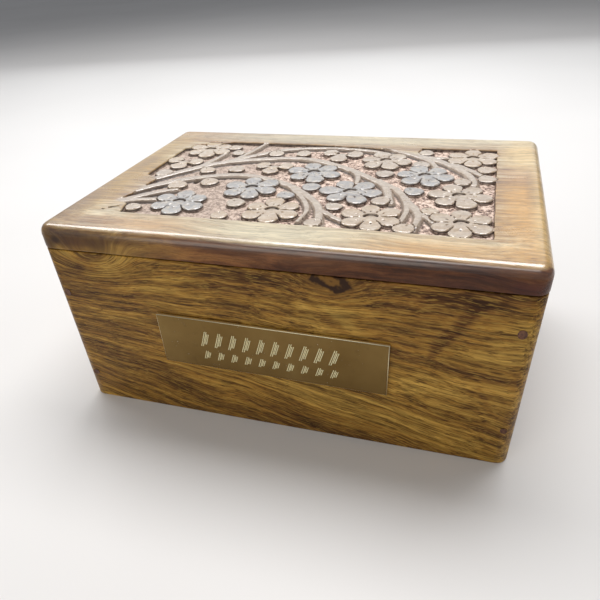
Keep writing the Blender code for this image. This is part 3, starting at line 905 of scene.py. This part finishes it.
def carvePanel(x, y):
    # for drawn places: depth below the lid's top, distance to the nearest form, and the colour masks, among
    # them the painted shade of the cuts
    waver = carving["waver"]
    wx = x + waver * ripple(x, y, 2.6, 3)
    wy = y + waver * ripple(x, y, 2.6, 8)
    halfLength, halfWidth = drawn["length"] / 2, drawn["width"] / 2
    fromCentreX = np.abs(wx - drawn["centre"][0]) - halfLength
    fromCentreY = np.abs(wy - drawn["centre"][1]) - halfWidth
    rim = -np.maximum(fromCentreX, fromCentreY)
    for uncut in (uncutLeft, uncutBack, uncutCorner):
        rim = np.minimum(rim, outsideOf(wx, wy, uncut))
    best = rim.copy()
    depth = np.full_like(x, 9.0)
    onFrame = rim < 0
    depth[onFrame] = 0.5 * shoulderDrop(-rim[onFrame])
    form, tone, cut, slope = (np.zeros_like(x) for _ in range(4))

    def put(area, made, formSheen, overStems):
        # a later form stands over what is there, with a fine cut round it where they meet, painted with shade
        distance, formDepth, cuts, formSlope = made
        inner = distance < 0
        whereIn = area[inner]
        if overStems:
            around = (distance >= 0) & (distance < carving["roundCut"])
            share = 1 - distance[around] / carving["roundCut"]
            whereRound = area[around]
            depth[whereRound] += np.where(best[whereRound] < 0, carving["roundCutDepth"] * share, 0)
            cut[whereRound] = np.maximum(cut[whereRound], share)
            depth[whereIn] = formDepth[inner]
            cut[whereIn] = cuts[inner]
            slope[whereIn] = 0
        else:
            higher = formDepth[inner] < depth[whereIn]
            cut[whereIn] = np.where(higher, cuts[inner], cut[whereIn])
            slope[whereIn] = np.where(higher, formSlope[inner], slope[whereIn])
            depth[whereIn] = np.minimum(depth[whereIn], formDepth[inner])
        form[whereIn] = 1
        tone[whereIn] = formSheen
        best[area] = np.minimum(best[area], distance)

    def windowAt(cx, cy, reach):
        return np.nonzero((np.abs(wx - cx) < reach) & (np.abs(wy - cy) < reach))[0]

    # painted sheen: how strongly a form is painted the cool grey that stands for its reflection
    def paintedSheenAt(cx, cy, seed):
        spread = max(math.exp(-((cx - u) ** 2 + (cy - v) ** 2) / r ** 2) for u, v, r in sheenPlaces)
        return min(1.0, spread + 0.25 * math.sin(seed * 2.7 + cx) ** 2)

    for i, stem in enumerate(stems):
        points = np.array(stem[1])
        low, high = points.min(axis=0) - 5, points.max(axis=0) + 5
        area = np.nonzero((wx > low[0]) & (wx < high[0]) & (wy > low[1]) & (wy < high[1]))[0]
        put(area, carveStem(wx[area], wy[area], stem, i), 0.35, False)
    for i, leaf in enumerate(leaves):
        area = windowAt(leaf[0], leaf[1], 7)
        put(area, carveLeaf(wx[area], wy[area], leaf), paintedSheenAt(leaf[0], leaf[1], i), True)
    for i, flower in enumerate(halfFlowers):
        area = windowAt(flower[0], flower[1], 10)
        made = carveFlower(wx[area], wy[area], flower, 3, 104, carving["halfFlowerSize"])
        put(area, made, paintedSheenAt(flower[0], flower[1], i), True)
    for i, flower in enumerate(flowers):
        area = windowAt(flower[0], flower[1], 13)
        put(area, carveFlower(wx[area], wy[area], flower, 6, 60), paintedSheenAt(flower[0], flower[1], i), True)
    form *= fadeIn(rim, -1.2, 0.3)  # stems run out into the frame's own colour
    lumps = carving["lump"] * (ripple(x, y, 3.1, 21) + 0.7 * ripple(x, y, 1.3, 22))
    punched = carving["punchDepth"] * punchMarks(x, y, carving["punchPitch"], 31)
    footCut = carving["footCut"] * np.clip(1 - best / 0.8, 0, 1)
    ground = carving["depth"] - carving["groundRise"] + lumps + punched + footCut
    # painted shade: the ground is marked dark close round the forms' feet
    cut = np.where(best >= 0, np.clip(1.5 - best / 0.48, 0, 1), cut)
    depth = np.where(best >= 0, ground, np.minimum(depth, ground - 0.1))
    depth += np.where(best < 0, 0.035 * ripple(x, y, 1.6, 41) * (form > 0), 0)
    for px, py, turn, length, width, deep in pits:
        along, side = alongAndBeside(wx, wy, px, py, turn)
        mark = fadeIn(1 - np.hypot(along / (length / 2), side / (width / 2)), 0, 0.55)
        depth += deep * mark
        cut = np.maximum(cut, mark)
    return np.maximum(depth, 0), best, form, tone, cut, slope


def drawnFromLid(x, y):
    # drawn places for places on the lid, and the scale from one to the other
    left, right, front, back = panelArea()
    scaleX, scaleY = (right - left) / drawn["length"], (back - front) / drawn["width"]
    return ((x - (left + right) / 2) / scaleX + drawn["centre"][0],
            (y - (front + back) / 2) / scaleY + drawn["centre"][1], scaleX, scaleY)


def snapToOutlines(x, y, cell):
    # moves the points beside a form's outline onto it, and the next ones onto its foot, for crisp walls
    step = 0.02
    best = carvePanel(x, y)[1]
    slopeX = (carvePanel(x + step, y)[1] - best) / step
    slopeY = (carvePanel(x, y + step)[1] - best) / step
    steep = np.maximum(np.hypot(slopeX, slopeY), 0.4)
    move = np.zeros_like(x)
    onRim = np.abs(best) < 0.5 * cell
    onFoot = (best >= 0.5 * cell) & (best < 1.5 * cell)
    move[onRim] = -best[onRim] - 0.002
    move[onFoot] = cell - best[onFoot]
    move = np.clip(move, -0.5 * cell, 0.5 * cell)
    return x + move * slopeX / steep ** 2, y + move * slopeY / steep ** 2, slopeY / steep


def splitFace(form, height, sides):
    # cuts the flat faces at this height along the left, right, front and back of an area
    for axis, place in zip((0, 0, 1, 1), sides):
        faces = [face for face in form.faces if allAt(face, 2, height)]
        edges = {edge for face in faces for edge in face.edges}
        verts = {vert for face in faces for vert in face.verts}
        centre, normal = [0, 0, 0], [0, 0, 0]
        centre[axis], normal[axis] = place, 1
        bmesh.ops.bisect_plane(form, geom=[*faces, *edges, *verts], dist=1e-7,
                               plane_co=centre, plane_no=normal)


def faceInside(form, height, left, right, front, back):
    def isInside(vert):
        return left - 1e-6 < vert.co.x < right + 1e-6 and front - 1e-6 < vert.co.y < back + 1e-6

    for face in form.faces:
        if allAt(face, 2, height) and all(isInside(vert) for vert in face.verts):
            return face


def makeLidForm():
    low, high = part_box("lid")
    under = low.z + lid["fieldDepth"]
    form = makeBlock((low.x, low.y, under), high)
    layers = [form.verts.layers.float.new(name) for name in maskNames]
    bevelEdges(form, isUpright, lid["cornerRadius"], lid["cornerSteps"])
    bevelEdges(form, lambda e: allAt(e, 2, high.z), lid["roundOver"], lid["roundSteps"])
    bevelEdges(form, lambda e: allAt(e, 2, under), lid["lowerEase"], 2)
    insetWide(form, 1.0e-4, lid["band"])
    # the field under the lid that drops between the walls
    clearance = lid["fieldClearance"]
    leftWall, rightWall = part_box("left_end_board")[1].x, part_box("right_end_board")[0].x
    frontWall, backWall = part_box("front_board")[1].y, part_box("back_board")[0].y
    field = (leftWall + clearance, rightWall - clearance, frontWall + clearance, backWall - clearance)
    splitFace(form, under, field)
    fieldFace = faceInside(form, under, *field)
    raised = bmesh.ops.extrude_face_region(form, geom=[fieldFace])["geom"]
    if fieldFace.is_valid:
        form.faces.remove(fieldFace)
    bmesh.ops.translate(form, vec=(0, 0, -lid["fieldDepth"]),
                        verts=[item for item in raised if isinstance(item, bmesh.types.BMVert)])
    bevelEdges(form, lambda e: allAt(e, 2, low.z), lid["lowerEase"], 2)
    # the panel's middle is replaced by a fine grid
    area = panelArea(lid["apron"])
    splitFace(form, high.z, area)
    opening = faceInside(form, high.z, *area)
    border = list(opening.edges)
    bmesh.ops.delete(form, geom=[opening], context="FACES_ONLY")
    countX = round((area[1] - area[0]) / lid["cell"])
    countY = round((area[3] - area[2]) / lid["cell"])
    for edge in border:
        alongX = abs(edge.verts[0].co.y - edge.verts[1].co.y) < 1e-6
        bmesh.ops.subdivide_edges(form, edges=[edge], cuts=(countX if alongX else countY) - 1)
    middle = Vector(((area[0] + area[1]) / 2, (area[2] + area[3]) / 2, high.z))
    verts = bmesh.ops.create_grid(form, x_segments=countX, y_segments=countY, size=1.0)["verts"]
    bmesh.ops.scale(form, vec=((area[1] - area[0]) / 2, (area[3] - area[2]) / 2, 1), verts=verts)
    bmesh.ops.translate(form, vec=middle, verts=verts)
    return form, verts, high.z, layers


def makeLid(material):
    form, verts, top, layers = makeLidForm()
    print("lid blank made, grid points", len(verts))
    place = np.array([vert.co[:] for vert in verts])
    edgeRow = np.array([vert.is_boundary for vert in verts])
    x, y, scaleX, scaleY = drawnFromLid(place[:, 0], place[:, 1])
    sx, sy, facesBack = snapToOutlines(x, y, lid["cell"] / mm)
    sx, sy = np.where(edgeRow, x, sx), np.where(edgeRow, y, sy)
    depth, best, formMask, tone, cut, slope = carvePanel(sx, sy)
    depth[edgeRow] = 0
    inFront = np.clip(0.45 - 0.75 * facesBack, 0.2, 1)  # painted shade: the cuts' shade is painted darker before a form than behind it, as the light falls from behind
    cut = np.where((best >= 0) | (slope > 0), cut * inFront, cut)
    place[:, 0] += (sx - x) * scaleX
    place[:, 1] += (sy - y) * scaleY
    place[:, 2] = top - depth * mm
    masks = np.stack([formMask, tone, cut, np.where(edgeRow, 0.0, 1.0), slope])
    for i, vert in enumerate(verts):
        vert.co = place[i]
        for layer, values in zip(layers, masks):
            vert[layer] = values[i]
    rim = [vert for vert in form.verts if vert.is_boundary]
    bmesh.ops.remove_doubles(form, verts=rim, dist=2e-5)
    fine = [face for face in form.faces if len(face.verts) == 4 and face.calc_area() < 4e-6]
    bmesh.ops.triangulate(form, faces=fine, quad_method="SHORT_EDGE", ngon_method="BEAUTY")
    openEdges = sum(edge.is_boundary for edge in form.edges)
    print("lid carved:", len(form.faces), "faces,", openEdges, "open edges")
    finishPiece(form, "carvedLid", material, ["lid"], math.radians(42))


lidWood = {
    "brown": (0.18, 0.080, 0.022),
    "tan": (0.38, 0.215, 0.075),
    "cream": (0.66, 0.57, 0.37),
    "orange": (0.44, 0.205, 0.035),
    "amber": (0.70, 0.370, 0.080),
    "yellow": (0.42, 0.240, 0.035),
    "pink": (0.40, 0.21, 0.12),
    "gold": (0.82, 0.58, 0.24),
    # painted sheen: a cool grey that stands for the reflection on the carved tops
    "formSheenGrey": (0.285, 0.282, 0.278),
    "formWarm": (0.48, 0.335, 0.20),
    "formPale": (0.70, 0.58, 0.42),
    "bark": (0.52, 0.420, 0.320),
    "barkDark": (0.30, 0.215, 0.150),
    # painted shade on the wide slopes beside the first stems
    "slopeShade": (0.095, 0.052, 0.028),
    # painted shade on the forms' walls and in the cuts at their feet
    "wall": (0.022, 0.010, 0.006),
    "ground": (0.50, 0.350, 0.265),
    "groundLight": (0.86, 0.68, 0.56),
    "groundDark": (0.090, 0.042, 0.028),
    "dullGround": (0.40, 0.315, 0.250),
    # painted shade in the cuts on the raised forms
    "creviceShade": (0.028, 0.014, 0.009),
    "pore": (0.10, 0.045, 0.02),
    "formPore": (0.14, 0.08, 0.05),
    "side": ((0.0, (0.050, 0.014, 0.004)), (0.35, (0.115, 0.036, 0.010)), (0.7, (0.200, 0.075, 0.022)),
             (1.0, (0.34, 0.15, 0.04))),
    "goldenSide": ((0.0, (0.055, 0.018, 0.004)), (0.4, (0.17, 0.075, 0.012)), (0.7, (0.32, 0.17, 0.030)),
                   (1.0, (0.46, 0.28, 0.06))),
    "darkTop": 0.0672,  # height up to which the sides are dark
    "darkRise": 0.0018,  # how much higher this is at the front
    "darkFade": 0.0006,
    "wander": 0.010,
    "curl": 0.60,
    "streaks": (0.44, 0.72),  # how strongly they shade, and the shade between them
    "flecks": 0.40,
    "roughness": 0.30,
    "coat": 0.85,
    "coatRoughness": 0.20,
    "coatIOR": 2.1,
}
lidSpans = {  # in metres, each from where a change starts to where it is complete
    "sunk": (0.06968, 0.06948),  # heights
    "wallTop": (0.06978, 0.06964),
    "wallFoot": (0.06904, 0.06922),
    "upper": (0.0668, 0.0684),
    "front": (-0.0475, -0.0505),  # along Y
    "goldenSide": (-0.020, -0.052),  # along X, as the next two
    "dullGround": (0.002, -0.030),
    "slopeShade": (-0.044, -0.053),
}
lidPatches = (  # in mm: centre x and y, turn in degrees, half length, half width, colour, amount
    (-70, 2, 90, 52, 6.5, "yellow", 0.90), (-40, -46, 0, 24, 5.5, "orange", 0.70),
    (-62, 48, 0, 16, 5, "orange", 0.55), (69.5, -16, 90, 28, 6, "amber", 0.75),
    (69, 14, 90, 7, 6, "pink", 0.45), (48, -46.5, 0, 30, 5, "amber", 0.50),
    (70, 36, 90, 18, 6, "gold", 0.75), (74, -10, 90, 34, 2.2, "gold", 0.60),
    # painted sheen: the cream patches along the front and back of the frame stand partly for the sheen there
    (2, -45, 0, 24, 6, "cream", 0.9), (5, 46, 0, 60, 6, "cream", 0.8),
    (-72, -34, 90, 18, 4, "brown", 0.55), (-70, 8, 90, 12, 2.5, "brown", 0.40),
    (72, -2, 90, 16, 1.6, "brown", 0.35), (-60, -46, 0, 10, 3, "brown", 0.45),
)
edgeShades = (  # on the lid's front edge: centre x and z, half length, half width, colour, amount
    (-66.5, 66.5, 8, 2.6, (0.055, 0.020, 0.008), 0.75), (-50, 63.4, 10, 1.6, (0.36, 0.20, 0.04), 0.5),
    (71, 63.8, 5, 2.2, (0.075, 0.018, 0.012), 0.8),
    (-69.7, 65.7, 1.6, 1.2, (0.03, 0.012, 0.008), 0.8), (52, 63.5, 12, 1.6, (0.07, 0.022, 0.012), 0.6),
    (8, 66.5, 18, 1.6, (0.30, 0.13, 0.055), 0.5), (-58, 65.4, 7, 1.7, (0.10, 0.040, 0.012), 0.65),
    (-73, 64.6, 3.2, 2.4, (0.06, 0.022, 0.008), 0.7), (-45, 66.9, 9, 1.2, (0.12, 0.05, 0.015), 0.6),
    (-36, 63.6, 7, 1.2, (0.10, 0.038, 0.012), 0.5), (62, 66.2, 6, 1.3, (0.06, 0.018, 0.012), 0.55),
)


def makeLidWood():
    material, tree, shader, place = newMaterial("carvedLidWood")
    parts = node(tree, "ShaderNodeSeparateXYZ", {0: place}).outputs
    burr = use(tree, knotPull, {"Vector": place, **knots["ovalBurr"]})
    across = calc(tree, "ADD", parts[2], burr["Offset"])
    grainPlace = node(tree, "ShaderNodeCombineXYZ", {0: parts[0], 1: parts[1], 2: across}).outputs[0]
    figure = use(tree, woodFigure, {"Vector": grainPlace, "Wander": lidWood["wander"],
                                    "Curl": lidWood["curl"]})
    topColour = ramp(tree, figure["Tone"], ((0.0, lidWood["brown"]), (0.42, lidWood["tan"]),
                                            (1.0, lidWood["cream"])))
    for x, y, turn, length, width, name, amount in lidPatches:
        patch = use(tree, softPatch, {
            "Vector": place, "Centre": (x * mm, y * mm, 0.07), "Turn": (0, 0, math.radians(turn)),
            "Size": (length * mm, width * mm, 0.05), "Edge": 0.8,
        })["Mask"]
        topColour = mixColour(tree, times(tree, patch, amount), topColour, lidWood[name])
    sideColour = ramp(tree, figure["Tone"], lidWood["side"])
    goldColour = ramp(tree, figure["Tone"], lidWood["goldenSide"])
    golden = span(tree, parts[0], *lidSpans["goldenSide"], 0.0, 0.85)
    sideColour = mixColour(tree, golden, sideColour, goldColour)
    for x, z, length, width, tint, amount in edgeShades:
        patch = use(tree, softPatch, {
            "Vector": place, "Centre": (x * mm, frontY, z * mm),
            "Size": (length * mm, 0.02, width * mm), "Edge": 0.7,
        })["Mask"]
        sideColour = mixColour(tree, times(tree, patch, amount), sideColour, tint)
    # painted sheen: the top and the round-overs of the back and ends are painted paler than the sides, partly
    # for the sheen they show; the front round-over is dark up to the top
    front = span(tree, parts[1], *lidSpans["front"])
    darkTop = calc(tree, "MULTIPLY_ADD", front, lidWood["darkRise"], lidWood["darkTop"])
    above = calc(tree, "SUBTRACT", parts[2], darkTop)
    lighter = calc(tree, "MULTIPLY", above, 1 / lidWood["darkFade"], clamp=True)
    colour = mixColour(tree, lighter, sideColour, topColour)
    colour = shadeBy(tree, colour, calc(tree, "MULTIPLY_ADD", figure["Streaks"], *lidWood["streaks"]))
    colour = mixColour(tree, times(tree, figure["Flecks"], lidWood["flecks"]), colour, lidWood["pore"])

    def mask(name):
        return node(tree, "ShaderNodeAttribute", attribute_name=name).outputs["Fac"]

    formMask, tone, cut, panel, slope = (mask(name) for name in maskNames)
    sunk = times(tree, panel, span(tree, parts[2], *lidSpans["sunk"]))
    # painted sheen: the forms are mixed toward a cool grey that stands for the reflection on their lacquer
    formColour = mixColour(tree, tone, lidWood["formWarm"], lidWood["formSheenGrey"])
    mottle = noise(tree, place, 620, 4, 0.65).outputs[0]
    formColour = mixColour(tree, span(tree, mottle, 0.42, 0.68, 0.0, 0.55), formColour, lidWood["formPale"])
    formColour = mixColour(tree, times(tree, figure["Flecks"], 0.5), formColour, lidWood["formPore"])
    colour = mixColour(tree, times(tree, formMask, 0.85), colour, formColour)
    # the ground's pale and dark speckle is partly its own colour and partly painted highlights and shade of
    # the rough, punched ground
    speck = noise(tree, place, 850, 3, 0.7).outputs[0]
    groundColour = ramp(tree, speck, ((0.38, lidWood["groundDark"]), (0.48, lidWood["ground"]),
                                      (0.60, lidWood["groundLight"])))
    dull = span(tree, parts[0], *lidSpans["dullGround"], 0.0, 0.55)
    groundColour = mixColour(tree, dull, groundColour, lidWood["dullGround"])
    barkColour = mixColour(tree, figure["Streaks"], lidWood["barkDark"], lidWood["bark"])
    # painted shade: the wide cut slopes beside the first stems are painted dark
    slopeShade = span(tree, parts[0], *lidSpans["slopeShade"], 0.0, 0.72)
    barkColour = mixColour(tree, slopeShade, barkColour, lidWood["slopeShade"])
    groundColour = mixColour(tree, slope, groundColour, barkColour)
    # painted shade: the forms' walls, between the ground's level and the rims, are painted dark
    wallTop, wallFoot = (span(tree, parts[2], *lidSpans[name]) for name in ("wallTop", "wallFoot"))
    wall = times(tree, times(tree, wallTop, wallFoot), calc(tree, "MULTIPLY_ADD", slope, -0.85, 0.85))
    # painted shade on the walls and in the cuts round the forms' feet
    dark = calc(tree, "MAXIMUM", times(tree, cut, 0.94), wall)
    groundColour = mixColour(tree, dark, groundColour, lidWood["wall"])
    colour = mixColour(tree, sunk, colour, groundColour)
    # painted shade in the cuts on the raised forms
    creviceShade = times(tree, times(tree, cut, calc(tree, "SUBTRACT", 1.0, sunk)), 0.95)
    colour = mixColour(tree, creviceShade, colour, lidWood["creviceShade"])
    satin = use(tree, satinFinish, {"Vector": place, "Roughness": lidWood["roughness"], "Spread": 0.14})
    rough = calc(tree, "MULTIPLY_ADD", sunk, 0.35, satin["Roughness"], clamp=True)
    coat = calc(tree, "MULTIPLY_ADD", sunk, -lidWood["coat"] * 0.8, lidWood["coat"], clamp=True)
    upper = span(tree, parts[2], *lidSpans["upper"], 0.12, 1.0)
    glossy = calc(tree, "MAXIMUM", front, formMask)  # the flat frame is rubbed duller
    coat = times(tree, coat, times(tree, upper, calc(tree, "MULTIPLY_ADD", glossy, 0.5, 0.5)))
    gloss = calc(tree, "MULTIPLY_ADD", upper, 0.4, 0.06)
    height = calc(tree, "MULTIPLY_ADD", speck, calc(tree, "MULTIPLY_ADD", sunk, 1.0, 0.25), figure["Height"])
    bump = node(tree, "ShaderNodeBump", {"Strength": 0.5, "Distance": 0.00012, "Height": height})
    plug(tree, shader, {
        "Base Color": colour, "Roughness": rough, "Normal": bump.outputs[0], "Specular IOR Level": gloss,
        "Coat Weight": coat, "Coat Roughness": lidWood["coatRoughness"], "Coat IOR": lidWood["coatIOR"],
    })
    return material


# floor

floorColours = ((0.3, (0.74, 0.72, 0.69)), (0.7, (0.80, 0.78, 0.75)))


def makeFloor():
    form = bmesh.new()
    bmesh.ops.create_grid(form, x_segments=4, y_segments=4, size=3.0)
    mesh = bpy.data.meshes.new("studioFloor")
    form.to_mesh(mesh)
    form.free()
    material, tree, shader, place = newMaterial("paleFloor")
    colour = ramp(tree, noise(tree, place, 3, 2, 0.5).outputs[0], floorColours)
    plug(tree, shader, {"Base Color": colour, "Roughness": 0.6})
    mesh.materials.append(material)
    floor = addObject("studioFloor", mesh)


makeCamera()
makeLamps()
makeRoom()
makeFloor()
print("camera, lights and floor set")
makeBoards()
makeFillers()
makePlate()
makeLid(makeLidWood())
